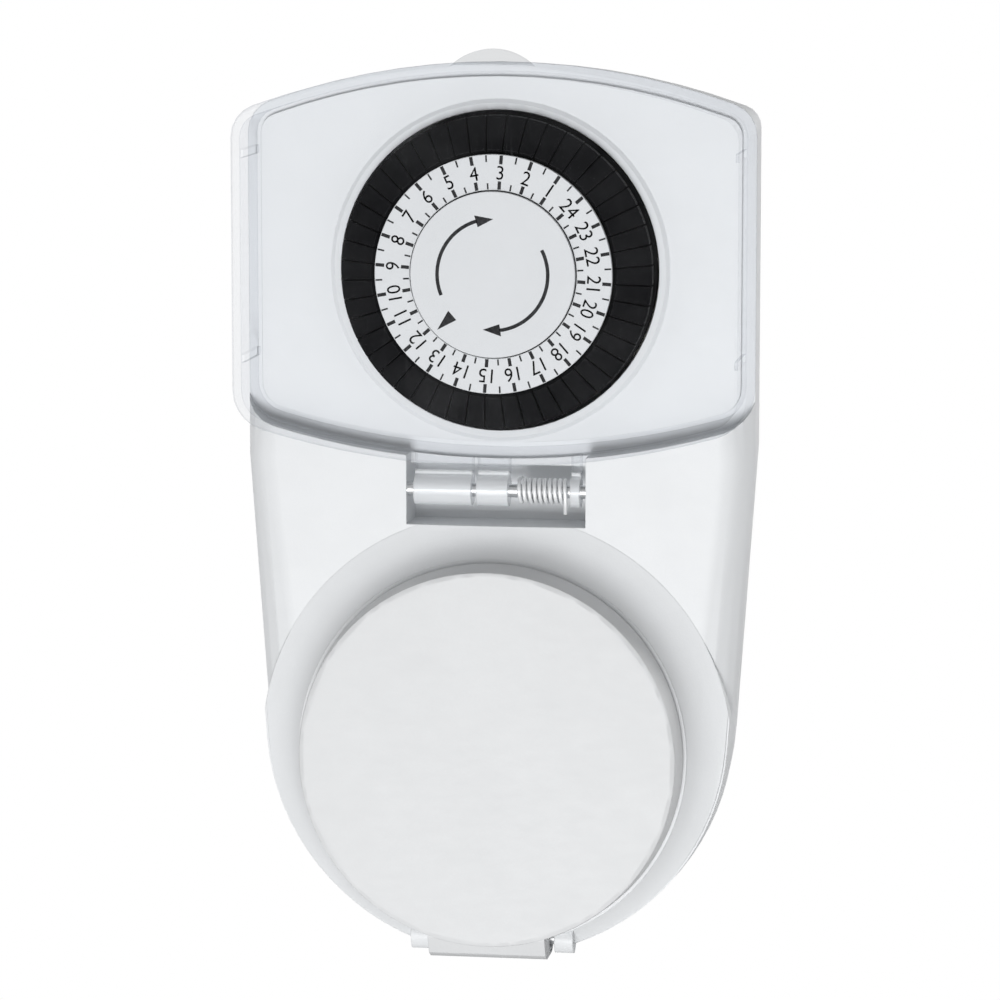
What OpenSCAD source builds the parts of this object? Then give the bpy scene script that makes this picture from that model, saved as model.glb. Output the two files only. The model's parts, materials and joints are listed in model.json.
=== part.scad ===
// Splash-proof plug-in timer with a 24-hour segment dial.
// Modules are drawn in a front view: x to the right, y up, z out of the front.
// facing() then stands them up, so the front looks along -Y and the plug pins point along +Y.

/* [Housing] */
// Half width of the housing and the dial cover
half_w = 38; // [37:0.5:40]
// Radius of the rounded lower end
low_r = 35.1; // [34.5:0.1:36]
// Height of the flat under the lid hinge, below the plug axis
bottom_drop = 30.4; // [30.2:0.1:30.8]
// Height of the top edge above the plug axis
top_y = 101.9; // [101:0.5:104]
// Wall thickness of both housing halves
wall = 2.2; // [2:0.1:2.4]

/* [Plug and socket] */
// Distance between the two pins
pin_pitch = 19; // [19:0.1:19.2]
// Radius of a plug pin
pin_r = 2.4; // [2.35:0.05:2.45]
// Length of a plug pin in front of the plug face
pin_len = 19; // [18:0.5:19.5]
// Radius of the plug body
plug_r = 18.4; // [18:0.1:18.6]
// Radius of the socket well
well_r = 19.6; // [19.3:0.1:19.7]
// Depth of the socket well behind the collar
well_depth = 17.5; // [16:0.5:18]

/* [Dial] */
// Height of the dial axis above the plug axis
dial_y = 71.1; // [70.5:0.1:71.5]
// Number of switching segments, one for each half hour
segments = 48; // [48]
// Travel of a segment when it is pushed in
segment_travel = 2.5; // [2:0.1:2.5]
// How far the dial is turned clockwise from a whole hour at the top
dial_rest = 4.1; // [0:0.1:7]

/* [Movement] */
// Gear module
gear_m = 0.4; // [0.4]
// Teeth of the dial gear
dial_teeth = 80; // [80]
// Teeth of the large idler gear
idler_teeth = 60; // [60]
// Teeth of the idler pinion
idler_pinion_teeth = 10; // [10]
// Teeth of the motor pinion
motor_teeth = 12; // [12]

/* [Hidden] */
$fn = 64;
eps = 0.01;
slice_t = 0.1;
hull_fn = 32;

// depths along z, from the plug face
back_z = 16.5;
split_z = 34;
ledge_z = 44;
front_z = 49;
collar_z = 53;
cover_front_z = 58.5;
lid_front_z = 59;
floor_z = collar_z - well_depth;

// outline of the housing and the cover
low_cy = 3.3;
split_inset = 0.55;
waist_y = 43;
corner_r = 5;
top_arc_r = 103;
top_cy = top_y - top_arc_r;
corner_y = top_cy + sqrt(pow(top_arc_r - corner_r, 2) - pow(half_w - corner_r, 2));
corner_a = acos((half_w - corner_r) / (top_arc_r - corner_r));
waist_reach = norm([half_w, waist_y - low_cy]);
taper_a = acos(low_r / waist_reach) - atan2(waist_y - low_cy, half_w);
flat_a = asin((low_cy + bottom_drop) / low_r);
cover_wall = 1.4;
chin_r = 120.6;
chin_y = 43.4;
chin_cy = chin_y + chin_r;
chin_corner_r = 6;
chin_corner_y = chin_cy - sqrt(pow(chin_r - chin_corner_r, 2) - pow(half_w - chin_corner_r, 2));
chin_corner_a = acos((half_w - chin_corner_r) / (chin_r - chin_corner_r));

// socket and lid
insert_r = 22;
flange_r = 23.5;
collar_r = 29.1;
cone_r = 35.4;
lid_r = 28.1;
lid_rim_r = 28.6;
lid_back_z = 53.6;
lid_skin = 1.8;
lid_axis = [-28.1, 51];
lid_block_half = 8.75;
lid_notch_half = 9.4;
lid_knuckle_r = 2.25;
lid_ear_r = 2.2;
hinge_pin_r = 1;
hinge_gap = 0.05;

// cover hinge
cover_axis = [38.7, 47.8];
recess_half = 13.4;
recess_low = 33.5;
recess_floor_z = 45;
recess_deep_z = 41.2;
cover_knuckle_r = 2.35;
spring_wire_r = 0.3;
spring_coil_r = 1.65;
spring_pitch = 0.78;

// dial
dial_hole_r = 23.8;
segment_a = 360 / segments;
segment_in_r = 17.85;
segment_out_r = 23.15;
segment_gap_a = 0.7;
segment_front_z = 51;
segment_edge_z = 48.6;
head_back_z = 46.6;
stem_r = 20.7;
stem_long = 3;
stem_wide = 1.3;
foot_z = 38;
drum_r = 17.6;
web_z = foot_z - segment_travel - 0.05;
drum_flange_r = 23.3;
post_r = 3;
ring_in_r = 12.4;
disc_r = 12.2;
disc_front_z = 52.2;

// movement
plate_z = 28.5;
plate_t = 1.5;
gear_z = 33;
gear_t = 2;
mesh_r = gear_m * (dial_teeth + idler_pinion_teeth) / 2;
idler_x = mesh_r;
idler_y = dial_y;
motor_x = idler_x;
motor_y = idler_y + gear_m * (idler_teeth + motor_teeth) / 2;
motor_r = 9.6;
motor_back_z = 19.3;
motor_front_z = 28.4;
arbor_r = 0.8;

// switch, drawn about the lever's nose
nose_a = 90 - dial_rest + 19 * segment_a;
nose_x = stem_r * cos(nose_a);
nose_y = dial_y + stem_r * sin(nose_a);
lever_arm = 14;
plunger_x = -6;
case_x = [-16, 4];
case_half = 3.2;
case_z = [18.7, 28];
lever_z = 31.6;
nose_z = 37.7;

// screws that join the halves: high pair, low pair
screw_spots = [[32.2, 91], [-32.2, 91], [26.5, -12], [-26.5, -12]];
plate_spots = [[-6.2, 89], [-6.2, 61.5], [28, 60.2]];

// live strip lane
strip_t = 0.6;
strip_w = 3;
strip_z = 19.88;
lane_x = -21;

white = "#ecedf0";
black = "#1b1b1d";
clear = [0.86, 0.92, 0.95, 0.35];
brass = "#c9a24a";
steel = "#a9adb2";

// ---------- helpers ----------

module facing() {
    rotate([90, 0, 0]) children();
}

module at(spots) {
    for (s = spots) translate([s[0], s[1], 0]) children();
}

module rod(r, z0, z1) {
    translate([0, 0, z0]) cylinder(r = r, h = z1 - z0);
}

module pipe(r_out, r_in, z0, z1) {
    difference() {
        rod(r_out, z0, z1);
        rod(r_in, z0 - 1, z1 + 1);
    }
}

module slab(z0, z1) {
    translate([0, 0, z0]) linear_extrude(z1 - z0) children();
}

module block(x, y, z) {
    translate([x[0], y[0], z[0]]) cube([x[1] - x[0], y[1] - y[0], z[1] - z[0]]);
}

// a cylinder along x from x0 to x1, on an axis given as [y, z]
module across(r, x0, x1, axis) {
    translate([x0, axis[0], axis[1]]) rotate([0, 90, 0]) cylinder(r = r, h = x1 - x0);
}

// a profile in the y-z plane, drawn from x0 to x1
module side_profile(points, x0, x1) {
    translate([x0, 0, 0]) rotate([90, 0, 90]) linear_extrude(x1 - x0) polygon(points);
}

function on_circle(c, r, a) = c + r * [cos(a), sin(a)];

// n points along an arc, without its last point, so that arcs can follow each other
function arc(c, r, a0, a1, n) = [
    for (i = [0:n - 1]) on_circle(c, r, a0 + (a1 - a0) * i / n)
];

// the upper edge that the housing and the cover share, from right to left
function crown(inset) = concat(
    arc([half_w - corner_r, corner_y], corner_r - inset, 0, corner_a, 4),
    arc([0, top_cy], top_arc_r - inset, corner_a, 180 - corner_a, 14),
    arc([corner_r - half_w, corner_y], corner_r - inset, 180 - corner_a, 180, 4),
    [[inset - half_w, corner_y]]
);

function waist(inset) =
    low_cy + ((half_w - inset) * cos(taper_a) - (low_r - inset)) / sin(taper_a);

function housing_points(inset) = concat(
    crown(inset),
    [[inset - half_w, waist(inset)]],
    arc([0, low_cy], low_r - inset, 180 + taper_a, 180 + flat_a, 16),
    [on_circle([0, low_cy], low_r - inset, 180 + flat_a)],
    arc([0, low_cy], low_r - inset, -flat_a, -taper_a, 16),
    [on_circle([0, low_cy], low_r - inset, -taper_a), [half_w - inset, waist(inset)]]
);

module housing_outline(inset = 0) {
    polygon(housing_points(inset));
}

function cover_points(inset) = concat(
    crown(inset),
    arc([chin_corner_r - half_w, chin_corner_y], chin_corner_r - inset,
        180, 180 + chin_corner_a, 5),
    arc([0, chin_cy], chin_r - inset, 180 + chin_corner_a, 360 - chin_corner_a, 16),
    arc([half_w - chin_corner_r, chin_corner_y], chin_corner_r - inset,
        -chin_corner_a, 0, 5),
    [[half_w - inset, chin_corner_y]]
);

module cover_outline(inset = 0) {
    polygon(cover_points(inset));
}

// a solid whose outline shrinks with depth: steps holds [z, inset] pairs
module rounded_housing(steps) {
    hull() for (s = steps) slab(s[0], s[0] + slice_t) housing_outline(s[1]);
}

module rounded_cover(steps) {
    hull() for (s = steps) slab(s[0], s[0] + slice_t) cover_outline(s[1]);
}

// everything below the cover's lower edge
module below_cover(z0, z1) {
    difference() {
        block([-60, 60], [-60, 60], [z0, z1]);
        slab(z0 - 1, z1 + 1) cover_outline(-0.3);
    }
}

// a gear with straight-flanked teeth; one tooth points along first_a
module gear_2d(teeth, first_a) {
    r = gear_m * teeth / 2;
    step = 360 / teeth;
    circle(r = r - 1.1 * gear_m);
    for (i = [0:teeth - 1]) rotate(first_a + i * step) polygon([
        (r - 1.3 * gear_m) * [cos(0.27 * step), -sin(0.27 * step)],
        (r + 0.75 * gear_m) * [cos(0.1 * step), -sin(0.1 * step)],
        (r + 0.75 * gear_m) * [cos(0.1 * step), sin(0.1 * step)],
        (r - 1.3 * gear_m) * [cos(0.27 * step), sin(0.27 * step)]
    ]);
}

// a helical wire along x as one closed skin
module coil(r, wire_r, pitch, turns, sides = 6, steps = 12) {
    count = turns * steps;
    ring = [for (i = [0:count]) let (a = 360 * i / steps, x = pitch * i / steps)
        [for (k = [0:sides - 1]) let (b = 360 * k / sides, q = r + wire_r * cos(b))
            [x + wire_r * sin(b), q * cos(a), q * sin(a)]]];
    points = [for (section = ring) for (p = section) p];
    skin = [for (i = [0:count - 1]) for (k = [0:sides - 1])
        let (n = (k + 1) % sides, s = i * sides)
        [s + k, s + sides + k, s + sides + n, s + n]];
    first_cap = [for (k = [0:sides - 1]) k];
    last_cap = [for (k = [sides - 1:-1:0]) count * sides + k];
    polyhedron(points, concat(skin, [first_cap, last_cap]));
}

// ---------- housing ----------

module rear_housing() {
    color(white) facing() {
        difference() {
            union() {
                rounded_housing([[back_z, 5.2], [back_z + 0.8, 3.5], [back_z + 2.2, 2.3],
                    [back_z + 4.5, 1.6], [split_z - 6, 1], [split_z - slice_t, split_inset]]);
                rod(plug_r, 0, back_z + 1);
            }
            difference() {
                slab(back_z + 2, split_z + 1) housing_outline(wall + 1.2);
                at(screw_spots) rod(4.2, back_z, split_z + 2);
                at(plate_spots) rod(2.6, back_z, plate_z);
            }
            rod(plug_r - 2.4, 4, back_z + 3);
            at([[pin_pitch / 2, 0], [-pin_pitch / 2, 0]]) rod(2.05, -1, 5);
            at(screw_spots) {
                rod(3.2, back_z - 1, 20.7);
                rod(1.35, back_z, split_z + 1);
            }
            at(plate_spots) rod(0.95, 22, plate_z + 1);
            plug_side_grooves();
            plug_earth_slots();
        }
        plug_pin_bushes();
    }
}

module plug_side_grooves() {
    for (side = [-1, 1])
        block([side * plug_r - 1.6, side * plug_r + 1.6], [-2.6, 2.6], [-1, 13]);
}

module plug_earth_slots() {
    for (side = [-1, 1])
        block([-3.1, 3.1], [side * 17.8 - 1.1, side * 17.8 + 1.1], [1.5, back_z + 3]);
}

module plug_pin_bushes() {
    at([[pin_pitch / 2, 0], [-pin_pitch / 2, 0]]) pipe(3.6, 2.05, 3.5, 10);
}

module front_housing() {
    color(white) facing() difference() {
        union() {
            rounded_housing([[split_z, split_inset], [ledge_z - slice_t, 0]]);
            intersection() {
                rounded_housing([[ledge_z - 1, 0], [ledge_z, 0], [ledge_z + 1.6, 0.35],
                    [ledge_z + 3.2, 1.4], [ledge_z + 4.4, 3], [front_z - slice_t, 5]]);
                below_cover(ledge_z - 0.5, front_z);
            }
            slab(ledge_z - eps, ledge_z + 0.8) cover_outline(2.1);
            translate([0, dial_y, ledge_z + 0.8 - eps])
                cylinder(r1 = 25.4, r2 = 24.8, h = 0.5);
            socket_boss();
        }
        front_cavities();
        rod(insert_r + 0.05, split_z - 1, collar_z + 1);
        rod(flange_r + 0.1, collar_z - 1.25, collar_z + 1);
        translate([0, dial_y, 0]) rod(dial_hole_r, split_z - 1, front_z);
        hinge_recess();
        lid_notch();
        across(hinge_pin_r + 0.02, -16, 16, cover_axis);
        across(hinge_pin_r + 0.02, -11.7, 11.7, lid_axis);
        gasket_groove();
        at(screw_spots) rod(1.25, split_z - 1, 41);
    }
}

module socket_boss() {
    intersection() {
        rotate_extrude() polygon([[0, front_z - eps], [cone_r, front_z - eps],
            [cone_r, front_z + 0.04], [cone_r - 2.2, front_z + 0.5],
            [cone_r - 4, front_z + 1.35], [cone_r - 5.3, front_z + 2.5],
            [collar_r, collar_z - 0.2], [collar_r, collar_z], [0, collar_z]]);
        slab(front_z - 1, collar_z + 1) housing_outline(0.6);
    }
    for (side = [-1, 1])
        across(lid_ear_r, side * 10.8 - 1.4, side * 10.8 + 1.4, lid_axis);
    intersection() {
        rod(cone_r, ledge_z - 0.5, front_z);
        slab(ledge_z - 1, front_z + 1) housing_outline(0.3);
    }
}

module front_cavities() {
    difference() {
        slab(split_z - 1, ledge_z - 2) housing_outline(wall);
        rod(insert_r + 2.2, split_z - 2, ledge_z);
        at(screw_spots) rod(4.2, split_z - 2, ledge_z);
        block([-recess_half - 5, recess_half + 5], [recess_low - 2, 42.6], [38, ledge_z]);
        block([-15, 15], [-31, -24.4], [38, ledge_z]);
    }
    for (side = [-1, 1]) {
        block([side * 24.5 - 5.5, side * 24.5 + 5.5], [22, 38], [ledge_z - 3, front_z - 2]);
    }
}

module hinge_recess() {
    block([-recess_half, recess_half], [recess_low, 46], [recess_floor_z, front_z + 5]);
    block([-recess_half, recess_half], [recess_low, 42.2], [recess_deep_z, front_z]);
}

module lid_notch() {
    block([-lid_notch_half, lid_notch_half], [-40, -24.5], [46.8, collar_z + 1]);
}

module gasket_groove() {
    slab(split_z - 1, split_z + 0.8) difference() {
        housing_outline(1);
        housing_outline(1.7);
    }
}

module housing_gasket() {
    color("#8d9094") facing() slab(split_z + 0.02, split_z + 0.76) difference() {
        housing_outline(1.05);
        housing_outline(1.65);
    }
}

module housing_screws() {
    color(steel) facing() at(screw_spots) difference() {
        union() {
            rod(2.8, 18.6, 20.7);
            rod(1.2, 20.7 - eps, 40);
        }
        rod(1.1, 18, 19.8, $fn = 6);
    }
}

module wall_seal_ring() {
    color("#2a2a2c") facing() {
        pipe(23.4, 20.6, back_z - 0.6, back_z);
        pipe(22.6, 21.2, back_z - 1.4, back_z - 0.5);
    }
}

// ---------- plug ----------

module plug_pin() {
    rod(pin_r, 1.2 - pin_len, 0);
    translate([0, 0, -pin_len]) cylinder(r1 = pin_r - 1.1, r2 = pin_r, h = 1.2);
    rod(2, -eps, 13);
}

module plug_pin_live() {
    color(steel) facing() translate([-pin_pitch / 2, 0, 0]) plug_pin();
}

module plug_pin_neutral() {
    color(steel) facing() translate([pin_pitch / 2, 0, 0]) plug_pin();
}

module plug_earth_contacts() {
    color(brass) facing() for (side = [-1, 1]) {
        block([-2.9, 2.9], [side * 17.4 - 0.5, side * 17.4 + 0.5], [1.7, 18.5]);
    }
}

// ---------- socket ----------

module socket_insert() {
    color(white) facing() difference() {
        union() {
            rod(insert_r, floor_z - 2.5, collar_z);
            rod(flange_r, collar_z - 1.2, collar_z);
        }
        difference() {
            rod(well_r, floor_z, collar_z + 1);
            for (side = [-1, 1])
                block([side * 19 - 1.6, side * 19 + 1.6], [-2.2, 2.2], [floor_z - 1, collar_z - 3]);
        }
        at([[pin_pitch / 2, 0], [-pin_pitch / 2, 0]]) {
            rod(2.9, floor_z - 4, floor_z + 1);
            translate([0, 0, floor_z - 0.6]) cylinder(r1 = 2.9, r2 = 3.6, h = 0.7);
        }
        for (side = [-1, 1])
            block([-3.2, 3.2], [side * 19.3 - 1.4, side * 19.3 + 1.4], [30, collar_z - 4]);
    }
}

module contact_sleeve() {
    difference() {
        pipe(3.3, 2.45, 19.5, 32.4);
        block([-0.5, 0.5], [0, 5], [22.5, 33]);
    }
    rod(3.3, 19.5, 20.1);
}

module socket_contact_live() {
    color(brass) facing() translate([-pin_pitch / 2, 0, 0]) contact_sleeve();
}

module socket_contact_neutral() {
    color(brass) facing() translate([pin_pitch / 2, 0, 0]) contact_sleeve();
}

module socket_earth_clips() {
    color(brass) facing() for (side = [-1, 1]) scale([1, side, 1]) {
        block([-2.9, 2.9], [19.6, 20.3], [31.4, 48.4]);
        side_profile([[19.6 + eps, 48.4], [19.6 + eps, 47.4], [18.2, 43.6], [19.6 + eps, 39.6],
            [19.6 + eps, 38.6], [17.7, 43.6]], -2.5, 2.5);
    }
}

module earth_links() {
    color(brass) facing() for (side = [-1, 1]) scale([1, side, 1]) {
        block([-2.9, 2.9], [16.9, 20.3], [18.5, 19.1]);
        block([-2.9, 2.9], [19.6, 20.3], [19, 31.4]);
    }
}

module neutral_link() {
    color(brass) facing() translate([pin_pitch / 2, 0, 0]) {
        rod(1.6, 13, 19.5);
        rod(3.2, 13, 13.8);
    }
}

module live_strip_in() {
    color(brass) facing() {
        translate([-pin_pitch / 2, 0, 0]) rod(3, 13, 13 + strip_t);
        block([-15.4, -9.5], [-1.5, 1.5], [13, 13 + strip_t]);
        block([-15.4, -15.4 + strip_t], [-1.5, 1.5], [13, strip_z + strip_t]);
        slab(strip_z, strip_z + strip_t) polygon([[-14.8, -1.5], [-14.8, 1.5],
            [lane_x + strip_w / 2, 14], [lane_x + strip_w / 2, 70.5],
            [lane_x - strip_w / 2, 70.5], [lane_x - strip_w / 2, 12.8], [-17, -1.5]]);
        at_switch() block([4.3, 8.5], [-strip_w / 2, strip_w / 2], [strip_z, strip_z + strip_t]);
    }
}

module live_strip_out() {
    color(brass) facing() {
        slab(strip_z, strip_z + strip_t) polygon([[-11, 3.4], [-8, 3.4], [-8, 34], [1.4, 41.2],
            [1.4, 43.6], [-1, 43.6], [-11, 36]]);
        at_switch() block([-18.5, -16.3], [-strip_w / 2, strip_w / 2], [strip_z, strip_z + strip_t]);
    }
}

// ---------- movement ----------

module movement_plate() {
    color("#d8d4c4") facing() difference() {
        slab(plate_z, plate_z + plate_t) hull() {
            at(concat(plate_spots, [[28, 76], [20, 90]])) circle(r = 3.6, $fn = hull_fn);
        }
        translate([0, dial_y, 0]) rod(2.52, plate_z - 1, plate_z + 3);
        translate([idler_x, idler_y, 0]) rod(0.62, plate_z - 1, plate_z + 3);
        translate([motor_x, motor_y, 0]) rod(1.6, plate_z - 1, plate_z + 3);
        at(plate_spots) rod(1, plate_z - 1, plate_z + 3);
        translate([8, 66, 0]) rod(2.4, plate_z - 1, plate_z + 3);
        translate([5, 82, 0]) rod(2.4, plate_z - 1, plate_z + 3);
    }
}

module movement_screws() {
    color(steel) facing() at(plate_spots) {
        rod(1.8, plate_z + plate_t, plate_z + plate_t + 1.1);
        rod(0.9, 23, plate_z + plate_t + eps);
    }
}

module dial_post() {
    color(steel) facing() translate([0, dial_y, 0]) {
        rod(2.5, 27.2, plate_z + plate_t + eps);
        rod(5, plate_z + plate_t, plate_z + plate_t + 0.8);
        rod(post_r, plate_z + plate_t, 50.6);
        rod(2, 50.6 - eps, 51.6);
    }
}

module idler_arbor() {
    color(steel) facing() translate([idler_x, idler_y, 0]) {
        rod(0.6, 27.6, plate_z + plate_t + eps);
        rod(arbor_r, plate_z + plate_t, 35.3);
        rod(1.5, plate_z + plate_t, plate_z + plate_t + 0.3);
    }
}

module motor_can() {
    color(steel) facing() translate([motor_x, motor_y, 0]) difference() {
        rod(motor_r, motor_back_z, motor_front_z);
        rod(motor_r - 0.6, motor_back_z + 0.6, motor_front_z - 0.6);
        rod(1.2, motor_front_z - 2, motor_front_z + 1);
    }
}

module motor_coil() {
    color("#b5622b") facing() translate([motor_x, motor_y, 0])
        pipe(motor_r - 0.8, 5.6, motor_back_z + 0.8, motor_front_z - 1);
}

module motor_rotor() {
    color("#55585c") facing() translate([motor_x, motor_y, 0]) {
        rod(5.2, motor_back_z + 1.4, motor_front_z - 2);
        rod(0.9, motor_back_z + 0.7, motor_back_z + 2);
    }
}

// a straight run of insulated wire at depth z, a little longer than its two ends
module wire_run(from, to, z) {
    reach = to - from;
    translate([from[0], from[1], z]) rotate([0, 90, atan2(reach[1], reach[0])])
        cylinder(r = 0.7, h = norm(reach) + 0.4);
}

module motor_leads() {
    color("#3a5a9c") facing() {
        wire_run([motor_x - motor_r - 0.4, motor_y], [-14, 84], 21.2);
        wire_run([-14, 84], [lane_x, 69], 21.25);
        wire_run([motor_x - 3, motor_y - motor_r - 0.5], [12.4, 40], 24);
        wire_run([12.4, 40], [12.4, 4], 24.1);
    }
}

// ---------- switch ----------

module at_switch() {
    translate([nose_x, nose_y, 0]) rotate(nose_a - 90 + 180) mirror([1, 0, 0]) children();
}

module switch_case() {
    color("#2c2f33") facing() at_switch() difference() {
        union() {
            block(case_x, [-case_half, case_half], case_z);
            for (side = [-1, 1])
                block([-lever_arm - 1.3, -lever_arm + 1.3],
                    [side * 2.3 - 0.5, side * 2.3 + 0.5], [case_z[1] - eps, 32.7]);
        }
        block([case_x[0] + 1, case_x[1] - 1], [-2.2, 2.2], [case_z[0] + 1, case_z[1] - 1]);
        translate([plunger_x, 0, 0]) rod(0.9, case_z[1] - 2, case_z[1] + 1);
        translate([-lever_arm, 5, lever_z]) rotate([90, 0, 0]) cylinder(r = 0.65, h = 10);
        for (end = case_x)
            block([end - 1.5, end + 1.5], [-1.6, 1.6], [20.4, 21.2]);
    }
}

module switch_contacts() {
    color(brass) facing() at_switch() {
        block([case_x[0] - 2.2, -9], [-1.5, 1.5], [20.5, 21.1]);
        block([-10, -9], [-1.5, 1.5], [21.1 - eps, 23.4]);
        block([-10, 1], [-1.5, 1.5], [23.4 - eps, 23.8]);
        block([-1, case_x[1] + 2.2], [-1.5, 1.5], [20.5, 21.1]);
        rod(1, 21.1 - eps, 22);
        rod(1, 22.6, 23.4 + eps);
    }
}

module switch_plunger() {
    color("#c8392f") facing() at_switch() translate([plunger_x, 0, 0]) {
        rod(0.82, 25.6, 30.3);
        translate([0, 0, 30.3]) sphere(r = 0.82);
        rod(1.6, 25.3, 26);
    }
}

module switch_lever() {
    color("#d9d9d6") facing() at_switch() {
        block([-lever_arm, 1.2], [-1.5, 1.5], [31.25, 32]);
        translate([-lever_arm, 1.5, lever_z]) rotate([90, 0, 0]) cylinder(r = 1, h = 3);
        translate([-lever_arm, 2.75, lever_z]) rotate([90, 0, 0]) cylinder(r = 0.6, h = 5.5);
        block([-0.45, 0.45], [-1.3, 1.3], [32 - eps, nose_z]);
    }
}

// ---------- dial ----------

module dial_drum() {
    color(black) facing() translate([0, dial_y, 0]) difference() {
        union() {
            pipe(6, post_r + hinge_gap, 32.5, 49.2);
            pipe(drum_r, post_r + hinge_gap, web_z, web_z + 1);
            pipe(drum_r, drum_r - 1.2, web_z + 0.9, 49.2);
            pipe(drum_r, post_r + hinge_gap, 49, 50.6);
            pipe(drum_flange_r, drum_r - eps, 42, 44);
        }
        for (i = [0:segments - 1]) rotate(segment_middle(i))
            block([stem_r - stem_long / 2 - 0.06, stem_r + stem_long / 2 + 0.06],
                [-stem_wide / 2 - 0.06, stem_wide / 2 + 0.06], [41, 45]);
    }
}

module dial_gear() {
    color(black) facing() translate([0, dial_y, 0]) slab(gear_z, gear_z + gear_t) difference() {
        gear_2d(dial_teeth, 0);
        circle(r = 6.02);
    }
}

module clutch_spring() {
    color(steel) facing() translate([0, dial_y, 0]) difference() {
        pipe(9.4, 6.1, web_z + 1.1, web_z + 1.7);
        block([5, 10], [-0.8, 0.8], [web_z, web_z + 3]);
    }
}

module hour_ring() {
    color(white) facing() translate([0, dial_y, 0]) pipe(drum_r, ring_in_r, 50.62, 51.6);
}

module pointer_disc() {
    color(white) facing() translate([0, dial_y, 0]) difference() {
        union() {
            rod(disc_r, 51.1, disc_front_z);
            rod(post_r + 0.8, 50.68, 51.2);
        }
        rod(2.02, 50, 51.62);
    }
}

// segment 0 is the first half hour after hour 24, and hours run anticlockwise
function segment_middle(i) = 90 - dial_rest - 3 * 2 * segment_a + (i + 0.5) * segment_a;

module segment() {
    rotate(-(segment_a - segment_gap_a) / 2) rotate_extrude(angle = segment_a - segment_gap_a)
        polygon([[segment_in_r, head_back_z], [segment_out_r, head_back_z],
            [segment_out_r, segment_edge_z], [segment_out_r - 0.5, segment_edge_z + 0.4],
            [segment_in_r + 0.4, segment_front_z], [segment_in_r, segment_front_z - 0.4]]);
    block([stem_r - stem_long / 2, stem_r + stem_long / 2], [-stem_wide / 2, stem_wide / 2],
        [foot_z, head_back_z + eps]);
}

// the six segments of a three-hour block
module segment_block(first) {
    color(black) facing() translate([0, dial_y, 0])
        for (i = [first:first + 5]) rotate(segment_middle(i)) segment();
}

module idler_gear() {
    color("#e8e2cf") facing() translate([idler_x, idler_y, 0]) {
        difference() {
            union() {
                slab(30.4, 32.2) gear_2d(idler_teeth, 90 + 180 / idler_teeth);
                slab(32.2 - eps, 35.2) gear_2d(idler_pinion_teeth, 180 + 180 / idler_pinion_teeth);
            }
            rod(arbor_r + hinge_gap, 30, 36);
            rod(1.55, 30, 30.5);
        }
    }
}

module motor_pinion() {
    color(brass) facing() translate([motor_x, motor_y, 0]) {
        slab(30.3, 32.3) gear_2d(motor_teeth, -90);
        rod(1, 27, 30.3 + eps);
    }
}

// ---------- cover ----------

module dial_cover() {
    color(clear) facing() difference() {
        union() {
            difference() {
                rounded_cover([[ledge_z + 0.05, 0], [cover_front_z - 1.9, 0],
                    [cover_front_z - 0.8, 0.5], [cover_front_z - slice_t, 1.6]]);
                slab(ledge_z - 1, cover_front_z - cover_wall) cover_outline(cover_wall);
            }
            cover_knuckle(-12.2, -3.6);
            cover_knuckle(-2.8, 1.9);
            cover_knuckle(11.2, 12.6);
            finger_tab();
            cover_side_ribs();
        }
        across(hinge_pin_r + hinge_gap, -20, 20, cover_axis);
    }
}

module cover_knuckle(x0, x1) {
    across(cover_knuckle_r, x0, x1, cover_axis);
    block([x0, x1], [cover_axis[0], chin_y + 0.8],
        [cover_axis[1] - cover_knuckle_r + 0.4, cover_axis[1] + 0.4]);
}

module finger_tab() {
    tab_r = 8.6;
    intersection() {
        translate([0.4, top_y - 6.3, 0]) rod(tab_r, cover_front_z - 5, cover_front_z - 2.6);
        block([-10, 10], [top_y - 0.9, top_y + 10], [ledge_z, cover_front_z]);
    }
}

module cover_side_ribs() {
    for (side = [-1, 1], y = [58.7, 88.8])
        block([side * (half_w - cover_wall) - 0.5, side * (half_w - cover_wall) + 0.5],
            [y - 0.6, y + 0.6], [ledge_z + 1.2, cover_front_z - 2]);
}

module cover_hinge_pin() {
    color(steel) facing() across(hinge_pin_r, -15.6, 15.6, cover_axis);
}

module cover_spring() {
    color(steel) facing() {
        translate([3.1 + spring_wire_r, cover_axis[0], cover_axis[1]])
            coil(spring_coil_r, spring_wire_r, spring_pitch, 9);
    }
}

// ---------- lid ----------

module socket_lid() {
    color(white) facing() difference() {
        union() {
            rotate_extrude() polygon([[0, lid_front_z - lid_skin], [0, lid_front_z],
                [lid_r - 0.7, lid_front_z], [lid_r - 0.15, lid_front_z - 0.25],
                [lid_r, lid_front_z - 0.8], [lid_rim_r, lid_back_z], [lid_rim_r - 1.7, lid_back_z],
                [lid_r - 1.7, lid_front_z - lid_skin]]);
            lid_block();
        }
        across(hinge_pin_r + hinge_gap, -20, 20, lid_axis);
        across(2.05, 4.4, 20, lid_axis);
    }
}

module lid_block() {
    across(lid_knuckle_r, -lid_block_half, lid_block_half, lid_axis);
    low = lid_axis[0] - lid_knuckle_r;
    side_profile([[low, lid_axis[1]], [low, 55.6], [low + 0.9, 57.4], [-27, lid_front_z - 0.3],
        [-25, lid_front_z - 0.3], [-25, 54.2], [-25.9, 53.1], [-25.9, lid_axis[1]]],
        -lid_block_half, lid_block_half);
}

module lid_seal() {
    color("#6f7276") facing() {
        pipe(24.6, 23, 53.03, 57.16);
    }
}

module lid_hinge_pin() {
    color(steel) facing() across(hinge_pin_r, -11.6, 11.6, lid_axis);
}

module lid_spring() {
    color(steel) facing() translate([4.9, lid_axis[0], lid_axis[1]])
        coil(spring_coil_r, spring_wire_r, spring_pitch, 5);
}

// ---------- nodes ----------

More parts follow.
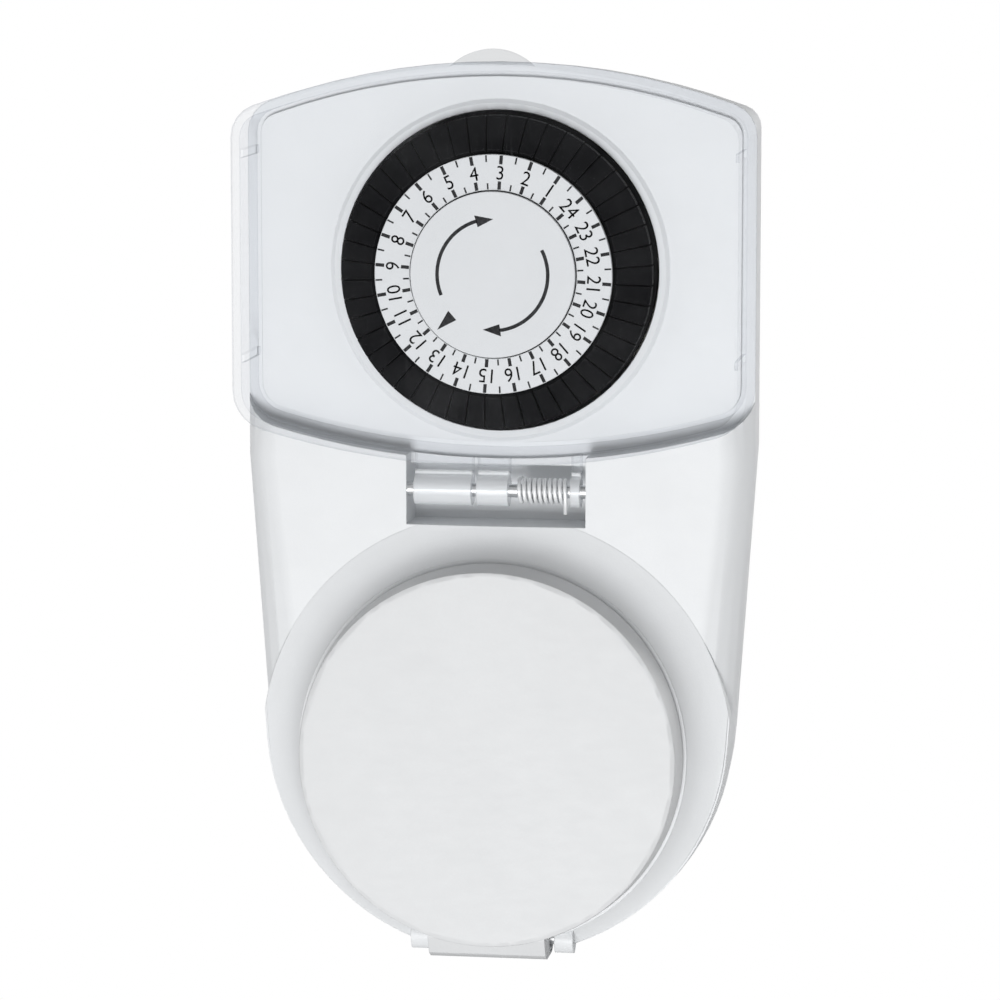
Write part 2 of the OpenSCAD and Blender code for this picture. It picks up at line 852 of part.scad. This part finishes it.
rear_housing();
front_housing();
housing_gasket();
housing_screws();
wall_seal_ring();
plug_pin_live();
plug_pin_neutral();
plug_earth_contacts();
socket_insert();
socket_contact_live();
socket_contact_neutral();
socket_earth_clips();
earth_links();
neutral_link();
live_strip_in();
live_strip_out();
movement_plate();
movement_screws();
dial_post();
idler_arbor();
motor_can();
motor_coil();
motor_leads();
switch_case();
switch_contacts();
pointer_disc();
cover_hinge_pin();
cover_spring();
lid_hinge_pin();
lid_spring();
dial_drum();
dial_gear();
clutch_spring();
hour_ring();
segment_block(0);  // segments_00_03
segment_block(6);  // segments_03_06
segment_block(12);  // segments_06_09
segment_block(18);  // segments_09_12
segment_block(24);  // segments_12_15
segment_block(30);  // segments_15_18
segment_block(36);  // segments_18_21
segment_block(42);  // segments_21_24
dial_cover();
socket_lid();
lid_seal();
idler_gear();
motor_pinion();
motor_rotor();
switch_lever();
switch_plunger();
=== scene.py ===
"""Looks for the plug-in segment timer: finishes, printing, springs, light and camera.

Lengths in the drawing helpers are millimetres in a front view: x right, y up, z out.
row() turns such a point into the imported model's frame, in metres.
"""

import json
import math

import bmesh
import bpy
from mathutils import Matrix, Vector


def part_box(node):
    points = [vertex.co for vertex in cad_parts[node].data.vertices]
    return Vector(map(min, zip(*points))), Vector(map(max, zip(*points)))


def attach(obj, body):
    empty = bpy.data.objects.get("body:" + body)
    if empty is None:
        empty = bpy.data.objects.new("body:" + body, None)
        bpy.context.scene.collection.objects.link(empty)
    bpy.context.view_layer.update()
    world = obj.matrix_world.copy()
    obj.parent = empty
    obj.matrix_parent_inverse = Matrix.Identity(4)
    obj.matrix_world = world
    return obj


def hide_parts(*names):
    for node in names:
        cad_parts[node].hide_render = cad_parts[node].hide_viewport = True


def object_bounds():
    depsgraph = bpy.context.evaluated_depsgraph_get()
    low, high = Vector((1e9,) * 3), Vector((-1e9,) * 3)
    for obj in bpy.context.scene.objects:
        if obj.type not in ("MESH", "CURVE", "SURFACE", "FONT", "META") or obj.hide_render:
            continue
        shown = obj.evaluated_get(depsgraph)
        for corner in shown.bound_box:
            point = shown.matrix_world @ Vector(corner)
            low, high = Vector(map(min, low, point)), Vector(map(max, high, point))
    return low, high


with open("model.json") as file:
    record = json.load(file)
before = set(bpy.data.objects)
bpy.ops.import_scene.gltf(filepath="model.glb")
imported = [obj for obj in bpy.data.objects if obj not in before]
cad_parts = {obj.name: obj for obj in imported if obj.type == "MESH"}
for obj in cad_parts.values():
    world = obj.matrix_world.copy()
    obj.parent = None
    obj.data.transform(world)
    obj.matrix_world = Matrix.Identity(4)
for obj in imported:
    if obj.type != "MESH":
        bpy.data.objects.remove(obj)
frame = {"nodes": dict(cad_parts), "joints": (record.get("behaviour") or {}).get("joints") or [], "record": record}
cad_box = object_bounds()

MM = 0.001
HOURS = 24
HOUR_ANGLE = 360 / HOURS
DIAL_REST = 4.1  # degrees from the top, clockwise, of TOP_HOUR's mark at rest
TOP_HOUR = 3
joint_at = {j["name"]: j["pos_m"] for j in frame["joints"] if "pos_m" in j}


def axis_of(joint_name):
    """Height and depth of a joint's axis in front-view millimetres."""
    place = joint_at[joint_name]
    return place[2] / MM, -place[1] / MM


DIAL_Y = axis_of("dial_turn")[0]
COVER_AXIS = axis_of("dial_cover_hinge")
LID_AXIS = axis_of("socket_lid_hinge")
RING_FRONT = -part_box("hour_ring")[0].y / MM
DISC_FRONT = -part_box("pointer_disc")[0].y / MM
TAB_HEIGHT = 2.4
TAB_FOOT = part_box("dial_cover")[1].z / MM - TAB_HEIGHT


def row(x, y, z):
    """A front-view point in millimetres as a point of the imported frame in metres."""
    return Vector((x, -z, y)) * MM


# ---------------------------------------------------------------- materials


class Graph:
    """Short calls that build the nodes of one material."""

    def __init__(self, name):
        self.material = bpy.data.materials.new(name)
        self.material.use_nodes = True
        self.tree = self.material.node_tree
        self.tree.nodes.clear()
        self.place = self.add("ShaderNodeTexCoord").outputs["Object"]

    def add(self, kind, inputs=None, **settings):
        node = self.tree.nodes.new(kind)
        for key, value in settings.items():
            setattr(node, key, value)
        for key, value in (inputs or {}).items():
            if isinstance(value, bpy.types.NodeSocket):
                self.tree.links.new(value, node.inputs[key])
            else:
                node.inputs[key].default_value = value
        return node

    def stretched(self, x, y, z):
        scaled = self.add("ShaderNodeVectorMath", {0: self.place, 1: (x, y, z)},
                          operation="MULTIPLY")
        return scaled.outputs["Vector"]

    def noise(self, scale, detail=3.0, roughness=0.5, vector=None):
        node = self.add("ShaderNodeTexNoise", {
            "Vector": vector or self.place, "Scale": scale, "Detail": detail,
            "Roughness": roughness})
        return node.outputs["Fac"]

    def fit(self, value, low, high, to_low=0.0, to_high=1.0):
        node = self.add("ShaderNodeMapRange", {
            "Value": value, "From Min": low, "From Max": high, "To Min": to_low,
            "To Max": to_high}, clamp=True)
        return node.outputs["Result"]

    def times(self, a, b):
        return self.add("ShaderNodeMath", {0: a, 1: b}, operation="MULTIPLY").outputs[0]

    def plus(self, a, b):
        return self.add("ShaderNodeMath", {0: a, 1: b}, operation="ADD").outputs[0]

    def mix(self, factor, a, b):
        node = self.add("ShaderNodeMix", data_type="RGBA")
        for key, value in ((0, factor), (6, a), (7, b)):
            if isinstance(value, bpy.types.NodeSocket):
                self.tree.links.new(value, node.inputs[key])
            else:
                node.inputs[key].default_value = value
        return node.outputs[2]

    def edges(self, width_mm):
        """1 along convex and concave edges, 0 on flats."""
        soft = self.add("ShaderNodeBevel", {"Radius": width_mm * MM}, samples=4)
        flat = self.add("ShaderNodeNewGeometry")
        same = self.add("ShaderNodeVectorMath", {
            0: soft.outputs["Normal"], 1: flat.outputs["Normal"]}, operation="DOT_PRODUCT")
        return self.fit(same.outputs["Value"], 0.99, 0.8), soft.outputs["Normal"]

    def bump(self, height, distance_mm, normal):
        node = self.add("ShaderNodeBump", {
            "Height": height, "Distance": distance_mm * MM, "Strength": 1.0,
            "Normal": normal})
        return node.outputs["Normal"]

    def finish(self, shader):
        self.add("ShaderNodeOutputMaterial", {"Surface": shader.outputs[0]})
        return self.material


def rgb(r, g, b):
    return (r, g, b, 1.0)


def moulded(name, colour, worn, roughness, grain_mm=0.3, depth_mm=0.01, wear=0.5,
            cloud=0.03, ior=1.48):
    """Moulded plastic: stippled skin, faint clouding, handling marks and rubbed edges."""
    g = Graph(name)
    stipple = g.noise(1000 / grain_mm, 2.0, 0.6)
    clouds = g.noise(90, 4.0, 0.6)
    rub = g.noise(1.0, 5.0, 0.65, g.stretched(260, 420, 700))
    edge, soft = g.edges(0.2)
    worn_edge = g.times(g.times(edge, g.fit(g.noise(700, 4.0), 0.35, 0.65)), wear)
    dull = [c * (1 - cloud) for c in colour[:3]] + [1.0]
    body = g.mix(g.fit(clouds, 0.35, 0.7), colour, dull)
    skin = g.mix(g.fit(stipple, 0.3, 0.7, 0.0, 0.5), body, dull)
    gloss = g.plus(g.fit(rub, 0.35, 0.7, roughness - 0.025, roughness + 0.025),
                   g.times(worn_edge, -0.12))
    shader = g.add("ShaderNodeBsdfPrincipled", {
        "Base Color": g.mix(worn_edge, skin, worn), "Roughness": gloss,
        "IOR": ior, "Normal": g.bump(stipple, depth_mm, soft)})
    return g.finish(shader)


def metal(name, colour, tarnish, roughness, direction, metallic=1.0):
    """Metal with drawn or rolled lines along one direction, and darker stains."""
    g = Graph(name)
    lines = g.noise(1.0, 4.0, 0.6, g.stretched(*direction))
    stains = g.fit(g.noise(240, 4.0, 0.6), 0.45, 0.75)
    edge, soft = g.edges(0.12)
    base = g.mix(g.times(stains, 0.5), colour, tarnish)
    shader = g.add("ShaderNodeBsdfPrincipled", {
        "Base Color": g.mix(g.times(edge, 0.35), base, rgb(0.9, 0.9, 0.88)),
        "Metallic": metallic,
        "Roughness": g.plus(g.fit(lines, 0.3, 0.7, roughness - 0.08, roughness + 0.1),
                            g.times(stains, 0.12)),
        "Normal": g.bump(lines, 0.004, soft)})
    return g.finish(shader)


def rubber(name, colour):
    """Matt rubber with a dusty bloom."""
    g = Graph(name)
    pores = g.noise(3800, 2.0, 0.6)
    bloom = g.fit(g.noise(180, 5.0, 0.65), 0.4, 0.75)
    edge, soft = g.edges(0.15)
    pale = [c + 0.06 for c in colour[:3]] + [1.0]
    shader = g.add("ShaderNodeBsdfPrincipled", {
        "Base Color": g.mix(g.plus(g.times(bloom, 0.4), g.times(edge, 0.3)), colour, pale),
        "Roughness": g.fit(pores, 0.3, 0.7, 0.72, 0.9), "IOR": 1.5,
        "Normal": g.bump(pores, 0.012, soft)})
    return g.finish(shader)


def winding(name):
    """Enamelled copper wire wound side by side."""
    g = Graph(name)
    wave = g.add("ShaderNodeTexWave", {
        "Vector": g.place, "Scale": 620.0, "Distortion": 0.6, "Detail": 2.0},
        wave_type="BANDS", bands_direction="Z")
    turns = wave.outputs["Fac"]
    shader = g.add("ShaderNodeBsdfPrincipled", {
        "Base Color": g.mix(turns, rgb(0.2, 0.05, 0.02), rgb(0.62, 0.26, 0.1)),
        "Metallic": 0.7, "Roughness": g.fit(g.noise(900), 0.3, 0.7, 0.22, 0.4),
        "Coat Weight": 0.5, "Normal": g.bump(turns, 0.06, g.edges(0.1)[1])})
    return g.finish(shader)


TUBE_R = 3.1  # reach of the cover's milky hinge tube round its axis


def clear_cover(name):
    """Thin clear plastic: see-through face on, grey end-on, milky round the hinge tube."""
    g = Graph(name)
    hinge_y, hinge_z = COVER_AXIS
    from_axis = g.add("ShaderNodeVectorMath", {
        0: g.stretched(0, 1, 1), 1: row(0, hinge_y, hinge_z)}, operation="DISTANCE")
    milky = g.fit(from_axis.outputs["Value"], TUBE_R * MM, (TUBE_R - 0.5) * MM, 0.0, 0.6)
    haze = g.fit(g.noise(70, 5.0, 0.7), 0.4, 0.75)
    scratches = g.fit(g.noise(1.0, 6.0, 0.7, g.stretched(1500, 1500, 160)), 0.62, 0.72)
    edge, soft = g.edges(0.25)
    facing = g.add("ShaderNodeLayerWeight", {"Blend": 0.5, "Normal": soft}).outputs["Facing"]
    grazing = g.add("ShaderNodeMath", {0: facing, 1: 4.0}, operation="POWER").outputs[0]
    tint = g.mix(g.times(grazing, 0.9), rgb(0.993, 0.996, 1.0), rgb(0.88, 0.885, 0.9))
    tint = g.mix(g.times(edge, 0.5), tint, rgb(0.7, 0.71, 0.74))
    height = g.add("ShaderNodeSeparateXYZ", {0: g.place}).outputs["Z"]
    tint = g.mix(g.fit(height, TAB_FOOT * MM, (TAB_FOOT + 0.3) * MM), tint,
                 rgb(0.86, 0.865, 0.87))
    through = g.add("ShaderNodeBsdfTransparent", {"Color": tint})
    skin = g.add("ShaderNodeBsdfPrincipled", {
        "Base Color": rgb(0.85, 0.87, 0.89),
        "Roughness": g.plus(g.fit(haze, 0.0, 1.0, 0.05, 0.16), g.times(scratches, 0.2)),
        "Normal": soft})
    share = g.add("ShaderNodeFresnel", {"IOR": 1.14, "Normal": soft}).outputs[0]
    share = g.plus(g.fit(share, 0.0, 0.4, 0.0, 0.12),
                   g.plus(g.times(haze, 0.008), g.times(scratches, 0.02)))
    lit = g.add("ShaderNodeLightPath").outputs["Is Shadow Ray"]
    share = g.times(g.plus(share, milky), g.fit(lit, 0.0, 1.0, 1.0, 0.0))
    both = g.add("ShaderNodeMixShader", {0: share})
    g.tree.links.new(through.outputs[0], both.inputs[1])
    g.tree.links.new(skin.outputs[0], both.inputs[2])
    return g.finish(both)


def printed(name):
    """Pad-printed black ink, slightly uneven."""
    g = Graph(name)
    uneven = g.fit(g.noise(2400, 3.0), 0.3, 0.75)
    shader = g.add("ShaderNodeBsdfPrincipled", {
        "Base Color": g.mix(uneven, rgb(0.012, 0.012, 0.013), rgb(0.045, 0.045, 0.047)),
        "Roughness": g.fit(uneven, 0.0, 1.0, 0.55, 0.75), "IOR": 1.2})
    return g.finish(shader)


def studio_white(name):
    """Backdrop that stays white to the camera."""
    g = Graph(name)
    paper = g.noise(30, 3.0)
    diffuse = g.add("ShaderNodeBsdfDiffuse", {
        "Color": g.mix(g.fit(paper, 0.3, 0.7), rgb(0.93, 0.93, 0.93), rgb(0.95, 0.95, 0.95))})
    glow = g.add("ShaderNodeEmission", {"Color": rgb(1, 1, 1), "Strength": 1.0})
    camera_ray = g.add("ShaderNodeLightPath").outputs["Is Camera Ray"]
    both = g.add("ShaderNodeMixShader", {0: camera_ray})
    g.tree.links.new(diffuse.outputs[0], both.inputs[1])
    g.tree.links.new(glow.outputs[0], both.inputs[2])
    return g.finish(both)


ACROSS = (300, 9000, 9000)
OUTWARD = (9000, 300, 9000)
finishes = {
    "white_plastic": moulded("white_plastic", rgb(0.79, 0.805, 0.82), rgb(0.7, 0.71, 0.72),
                             0.46, 0.35, 0.012, 0.35),
    "white_lid": moulded("white_lid", rgb(0.7, 0.71, 0.72), rgb(0.62, 0.625, 0.63),
                         0.48, 0.35, 0.012, 0.35),
    "black_plastic": moulded("black_plastic", rgb(0.004, 0.004, 0.005),
                             rgb(0.03, 0.03, 0.032), 0.55, 0.25, 0.01, 0.5, 0.2, ior=1.2),
    "dark_plastic": moulded("dark_plastic", rgb(0.045, 0.048, 0.052),
                            rgb(0.12, 0.12, 0.125), 0.4, 0.25, 0.01, 0.8, 0.2),
    "ivory_plastic": moulded("ivory_plastic", rgb(0.76, 0.72, 0.6), rgb(0.86, 0.83, 0.74),
                             0.36, 0.4, 0.006, 0.5),
    "red_plastic": moulded("red_plastic", rgb(0.55, 0.05, 0.035), rgb(0.7, 0.2, 0.16),
                           0.3, 0.4, 0.005, 0.5, 0.1),
    "clear_plastic": clear_cover("clear_plastic"),
    "brass": metal("brass", rgb(0.78, 0.55, 0.24), rgb(0.42, 0.26, 0.1), 0.3, OUTWARD),
    "steel": metal("steel", rgb(0.86, 0.87, 0.88), rgb(0.5, 0.49, 0.48), 0.26, ACROSS),
    "spring_wire": metal("spring_wire", rgb(0.95, 0.96, 0.97), rgb(0.82, 0.82, 0.83), 0.45,
                         ACROSS, metallic=0.5),
    "nickel": metal("nickel", rgb(0.74, 0.73, 0.7), rgb(0.5, 0.47, 0.42), 0.2, OUTWARD),
    "grey_rubber": rubber("grey_rubber", rgb(0.2, 0.21, 0.22)),
    "black_rubber": rubber("black_rubber", rgb(0.022, 0.022, 0.023)),
    "wound_copper": winding("wound_copper"),
    "wire_blue": moulded("wire_blue", rgb(0.05, 0.13, 0.4), rgb(0.14, 0.24, 0.5), 0.34,
                         0.5, 0.006, 0.4, 0.1),
}
ink = printed("dial_ink")


# ---------------------------------------------------------------- carried-over CAD nodes


def shade_by_angle(name, limit_deg):
    """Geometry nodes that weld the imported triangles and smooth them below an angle."""
    tree = bpy.data.node_groups.new(name, "GeometryNodeTree")
    tree.interface.new_socket("Geometry", in_out="INPUT", socket_type="NodeSocketGeometry")
    tree.interface.new_socket("Geometry", in_out="OUTPUT", socket_type="NodeSocketGeometry")
    start = tree.nodes.new("NodeGroupInput")
    end = tree.nodes.new("NodeGroupOutput")
    weld = tree.nodes.new("GeometryNodeMergeByDistance")
    weld.inputs["Distance"].default_value = 1e-6
    smooth = tree.nodes.new("GeometryNodeSetShadeSmooth")
    smooth.domain = "FACE"
    sharp = tree.nodes.new("GeometryNodeSetShadeSmooth")
    sharp.domain = "EDGE"
    sharp.inputs["Shade Smooth"].default_value = False
    angle = tree.nodes.new("GeometryNodeInputMeshEdgeAngle")
    over = tree.nodes.new("FunctionNodeCompare")
    over.operation = "GREATER_THAN"
    over.inputs["B"].default_value = math.radians(limit_deg)
    link = tree.links.new
    link(start.outputs[0], weld.inputs["Geometry"])
    link(weld.outputs["Geometry"], smooth.inputs["Geometry"])
    link(smooth.outputs["Geometry"], sharp.inputs["Geometry"])
    link(angle.outputs["Unsigned Angle"], over.inputs["A"])
    link(over.outputs["Result"], sharp.inputs["Selection"])
    link(sharp.outputs["Geometry"], end.inputs[0])
    return tree


SMOOTH_BELOW_DEG = 28
smoothing = shade_by_angle("shade_by_angle", SMOOTH_BELOW_DEG)


def dress(node_name, slot_name):
    """Gives a CAD node its finish and smooth shading."""
    node = frame["nodes"][node_name]
    if not node.material_slots:
        node.data.materials.append(None)
    for slot in node.material_slots:
        slot.link = "OBJECT"
        slot.material = finishes[slot_name]
    node.modifiers.new("shade", "NODES").node_group = smoothing
    weighted = node.modifiers.new("weighted", "WEIGHTED_NORMAL")
    weighted.keep_sharp = True
    weighted.weight = 100


SOFTER_WHITE = ("socket_lid", "hour_ring", "pointer_disc")
for part in frame["record"]["subparts"]:
    softer = part["node"] in SOFTER_WHITE
    dress(part["node"], "white_lid" if softer else part["material_slot"])


# ---------------------------------------------------------------- new pieces


def piece(name, build, body, slot_name, material, *replaced):
    """Makes a mesh object from build(bmesh) and lets it ride on a body."""
    mesh = bpy.data.meshes.new(name)
    work = bmesh.new()
    build(work)
    bmesh.ops.recalc_face_normals(work, faces=work.faces)
    work.to_mesh(mesh)
    work.free()
    mesh.materials.append(material)
    made = bpy.data.objects.new(name, mesh)
    bpy.context.scene.collection.objects.link(made)
    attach(made, body)
    if replaced:
        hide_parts(*replaced)


INK_LIFT = 0.008  # gap between the printed face and the ink's own underside
INK_THICK = 0.014
NUMERAL_R, NUMERAL_H, NUMERAL_SQUEEZE = 14.95, 2.05, 0.94
HOUR_MARKS = ((16.2, 17.5, 0.5), (12.5, 13.7, 0.5))  # inner radius, outer radius, width
HALF_HOUR_MARKS = ((16.5, 17.5, 0.24), (12.5, 13.4, 0.24))
ARROW_R, ARROW_WIDTH, ARROW_HEAD, ARROW_HEAD_WIDTH = 8.2, 0.52, 2.6, 1.8


def ink_shape(work, outline, front):
    """A thin raised patch of ink with the given outline in front-view millimetres."""
    low = [work.verts.new(row(x, y, front + INK_LIFT)) for x, y in outline]
    high = [work.verts.new(row(x, y, front + INK_LIFT + INK_THICK)) for x, y in outline]
    work.faces.new(low)
    work.faces.new(high)
    for i in range(len(outline)):
        j = (i + 1) % len(outline)
        work.faces.new((low[i], low[j], high[j], high[i]))


def polar(r, angle_deg):
    a = math.radians(angle_deg)
    return (r * math.cos(a), DIAL_Y + r * math.sin(a))


def tick(work, angle_deg, r0, r1, width):
    """One radial dial mark."""
    a = math.radians(angle_deg)
    side = (-math.sin(a) * width / 2, math.cos(a) * width / 2)
    (x0, y0), (x1, y1) = polar(r0, angle_deg), polar(r1, angle_deg)
    ink_shape(work, [(x0 - side[0], y0 - side[1]), (x1 - side[0], y1 - side[1]),
                     (x1 + side[0], y1 + side[1]), (x0 + side[0], y0 + side[1])], RING_FRONT)


def hour_angle(hour):
    """Direction of an hour's mark at rest, in degrees from the right, anticlockwise."""
    return 90 - DIAL_REST + HOUR_ANGLE * (hour - TOP_HOUR)


def numeral_mesh(text, height_mm):
    """Flat mesh of a number, centred on the origin, in millimetres."""
    curve = bpy.data.curves.new("numeral", "FONT")
    curve.body = text
    curve.size = 1.0
    curve.resolution_u = 3
    holder = bpy.data.objects.new("numeral", curve)
    bpy.context.scene.collection.objects.link(holder)
    bpy.context.view_layer.update()
    shape = holder.evaluated_get(bpy.context.evaluated_depsgraph_get()).to_mesh()
    points = [v.co.copy() for v in shape.vertices]
    faces = [list(p.vertices) for p in shape.polygons]
    bpy.data.objects.remove(holder)
    bpy.data.curves.remove(curve)
    xs, ys = [p.x for p in points], [p.y for p in points]
    scale = height_mm / (max(ys) - min(ys))
    mid_x, mid_y = (max(xs) + min(xs)) / 2, (max(ys) + min(ys)) / 2
    wide = scale * NUMERAL_SQUEEZE
    return [((p.x - mid_x) * wide, (p.y - mid_y) * scale) for p in points], faces


def dial_printing(work):
    """24 numbers with a thick mark at each hour and a thin one at each half hour."""
    for hour in range(1, HOURS + 1):
        angle = hour_angle(hour)
        for mark in HOUR_MARKS:
            tick(work, angle, *mark)
        for mark in HALF_HOUR_MARKS:
            tick(work, angle + HOUR_ANGLE / 2, *mark)
        points, faces = numeral_mesh(str(hour), NUMERAL_H)
        turn = Matrix.Rotation(math.radians(angle - 90), 2)
        cx, cy = polar(NUMERAL_R, angle)
        placed = [turn @ Vector(p) for p in points]
        first = [work.verts.new(row(cx + p.x, cy + p.y, RING_FRONT + INK_LIFT + INK_THICK))
                 for p in placed]
        bmesh.ops.solidify(work, geom=[work.faces.new([first[i] for i in f]) for f in faces],
                           thickness=INK_THICK * MM)


def arrow(work, start_deg, end_deg):
    """A curved arrow; angles run clockwise from the top."""
    tail, tip = 90 - start_deg, 90 - end_deg
    neck = tip + math.degrees(ARROW_HEAD / ARROW_R)
    steps = 28
    inner, outer = [], []
    for i in range(steps + 1):
        a = tail + (neck - 1 - tail) * i / steps
        inner.append(polar(ARROW_R - ARROW_WIDTH / 2, a))
        outer.append(polar(ARROW_R + ARROW_WIDTH / 2, a))
    ink_shape(work, inner + outer[::-1], DISC_FRONT)
    ink_shape(work, [polar(ARROW_R, tip), polar(ARROW_R + ARROW_HEAD_WIDTH / 2, neck),
                     polar(ARROW_R - ARROW_HEAD_WIDTH / 2, neck)], DISC_FRONT)


def disc_printing(work):
    """Two turning arrows and the pointer that reads the hour."""
    arrow(work, -112, 1)
    arrow(work, 63, 190)
    ink_shape(work, [(-8.2, DIAL_Y - 8.2), (-6.55, DIAL_Y - 5.35), (-5.35, DIAL_Y - 6.7)],
              DISC_FRONT)


WIRE_R = 0.3
WIRE_SIDES = 10


def wire_along(work, points):
    """A round wire swept along points given in front-view millimetres."""
    path = [row(*p) for p in points]
    rings = []
    up = Vector((0, 0, 1))
    for i, p in enumerate(path):
        ahead = (path[min(i + 1, len(path) - 1)] - path[max(i - 1, 0)]).normalized()
        side = ahead.cross(up)
        if side.length < 0.1:
            side = ahead.cross(Vector((1, 0, 0)))
        side.normalize()
        other = ahead.cross(side).normalized()
        up = side.cross(ahead).normalized()
        ring = []
        for k in range(WIRE_SIDES):
            a = 2 * math.pi * k / WIRE_SIDES
            ring.append(work.verts.new(
                p + (side * math.cos(a) + other * math.sin(a)) * WIRE_R * MM))
        rings.append(ring)
    for one, two in zip(rings, rings[1:]):
        for k in range(WIRE_SIDES):
            n = (k + 1) % WIRE_SIDES
            work.faces.new((one[k], one[n], two[n], two[k]))
    work.faces.new(rings[0])
    work.faces.new(rings[-1])
    for face in work.faces:
        face.smooth = True


def coil_points(x0, axis, r, pitch, turns):
    """Points of a coil round a line across the object; x0 is its left end."""
    steps = 28
    made = []
    for i in range(int(turns * steps) + 1):
        a = 2 * math.pi * i / steps
        made.append((x0 + pitch * i / steps, axis[0] + r * math.cos(a),
                     axis[1] + r * math.sin(a)))
    return made


def cover_spring(work):
    """Close coil with one leg under the cover wall and one on the recess floor."""
    turns = coil_points(3.4, COVER_AXIS, 1.65, 0.76, 9.25)
    last = turns[-1]
    leg = [(last[0] + 0.05, last[1] - 0.6, last[2] - 0.03),
           (last[0] + 0.05, last[1] - 3.2, last[2] - 0.15)]
    first = turns[0]
    hook = [(first[0] - 0.02, first[1] + 0.02, first[2] - 2.2),
            (first[0] - 0.01, first[1] + 0.01, first[2] - 0.8)]
    wire_along(work, hook + turns + leg)


def lid_spring(work):
    """Short coil in the lid block, its last turn showing in the side gap."""
    wire_along(work, coil_points(4.9, LID_AXIS, 1.62, 0.79, 5.2))


piece("dial_printing", dial_printing, "dial", "black_plastic", ink)
piece("disc_printing", disc_printing, "housing", "black_plastic", ink)
spring_wire = finishes["spring_wire"]
piece("cover_spring_wire", cover_spring, "housing", "steel", spring_wire, "cover_spring")
piece("lid_spring_wire", lid_spring, "housing", "steel", spring_wire, "lid_spring")


# ---------------------------------------------------------------- studio


def sheet(name, points, material):
    mesh = bpy.data.meshes.new(name)
    mesh.from_pydata(points, [], [tuple(range(4))])
    mesh.materials.append(material)
    made = bpy.data.objects.new(name, mesh)
    bpy.context.scene.collection.objects.link(made)
    made.visible_shadow = False
    made.visible_diffuse = False


low, high = cad_box
HALF_STUDIO = 6
BACKDROP_Y = 4
floor_z = low.z - 0.0005
paper = studio_white("studio_white")
sheet("floor", [(x, y, floor_z) for x, y in (
    (-HALF_STUDIO, -HALF_STUDIO), (HALF_STUDIO, -HALF_STUDIO),
    (HALF_STUDIO, HALF_STUDIO), (-HALF_STUDIO, HALF_STUDIO))], paper)
sheet("backdrop", [(x, BACKDROP_Y, z) for x, z in (
    (-HALF_STUDIO, -3), (HALF_STUDIO, -3), (HALF_STUDIO, 6), (-HALF_STUDIO, 6))], paper)


def soft_light(name, place, target, size, watts):
    data = bpy.data.lights.new(name, "AREA")
    data.shape = "RECTANGLE"
    data.size, data.size_y = size
    data.energy = watts
    lamp = bpy.data.objects.new(name, data)
    lamp.location = place
    lamp.rotation_euler = (Vector(target) - Vector(place)).to_track_quat("-Z", "Y").to_euler()
    bpy.context.scene.collection.objects.link(lamp)


centre = (low + high) / 2
soft_light("key", (-0.05, -1.3, -0.35), centre, (0.45, 0.45), 10.3)
soft_light("back_right", (0.95, 0.9, 0.5), centre, (0.6, 0.6), 9.0)
soft_light("back_left", (-0.95, 0.9, 0.5), centre, (0.6, 0.6), 6.0)


def studio_world(ambient, frontal, from_below):
    """An even white room, brighter in front of the object and dimmer above it.

    The camera itself sees pure white past the floor and the backdrop.
    """
    world = bpy.data.worlds.new("studio")
    world.use_nodes = True
    nodes, link = world.node_tree.nodes, world.node_tree.links.new
    toward = nodes.new("ShaderNodeTexCoord").outputs["Generated"]
    slope = nodes.new("ShaderNodeVectorMath")
    slope.operation = "DOT_PRODUCT"
    slope.inputs[1].default_value = (0, -frontal, -from_below)
    link(toward, slope.inputs[0])
    level = nodes.new("ShaderNodeMath")
    level.operation = "ADD"
    level.inputs[1].default_value = ambient
    link(slope.outputs["Value"], level.inputs[0])
    seen = nodes.new("ShaderNodeMath")
    seen.operation = "MAXIMUM"
    link(level.outputs[0], seen.inputs[0])
    link(nodes.new("ShaderNodeLightPath").outputs["Is Camera Ray"], seen.inputs[1])
    link(seen.outputs[0], nodes["Background"].inputs["Strength"])
    nodes["Background"].inputs["Color"].default_value = rgb(1, 1, 1)
    return world


scene = bpy.context.scene
scene.world = studio_world(0.36, 0.15, 0.05)
scene.view_settings.view_transform = "Standard"

AZIMUTH, ELEVATION, DISTANCE = 8.6, 8.0, 0.7
AIM = Vector((-0.0001, -0.044, 0.0367))
camera_data = bpy.data.cameras.new("camera")
camera_data.sensor_width = 36
camera_data.lens = 169
camera_data.clip_start = 0.01
camera = bpy.data.objects.new("camera", camera_data)
az, el = math.radians(AZIMUTH), math.radians(ELEVATION)
reach = Vector((math.sin(az) * math.cos(el), -math.cos(az) * math.cos(el), math.sin(el)))
camera.location = AIM + reach * DISTANCE
camera.rotation_euler = (-reach).to_track_quat("-Z", "Y").to_euler()
scene.collection.objects.link(camera)
scene.camera = camera
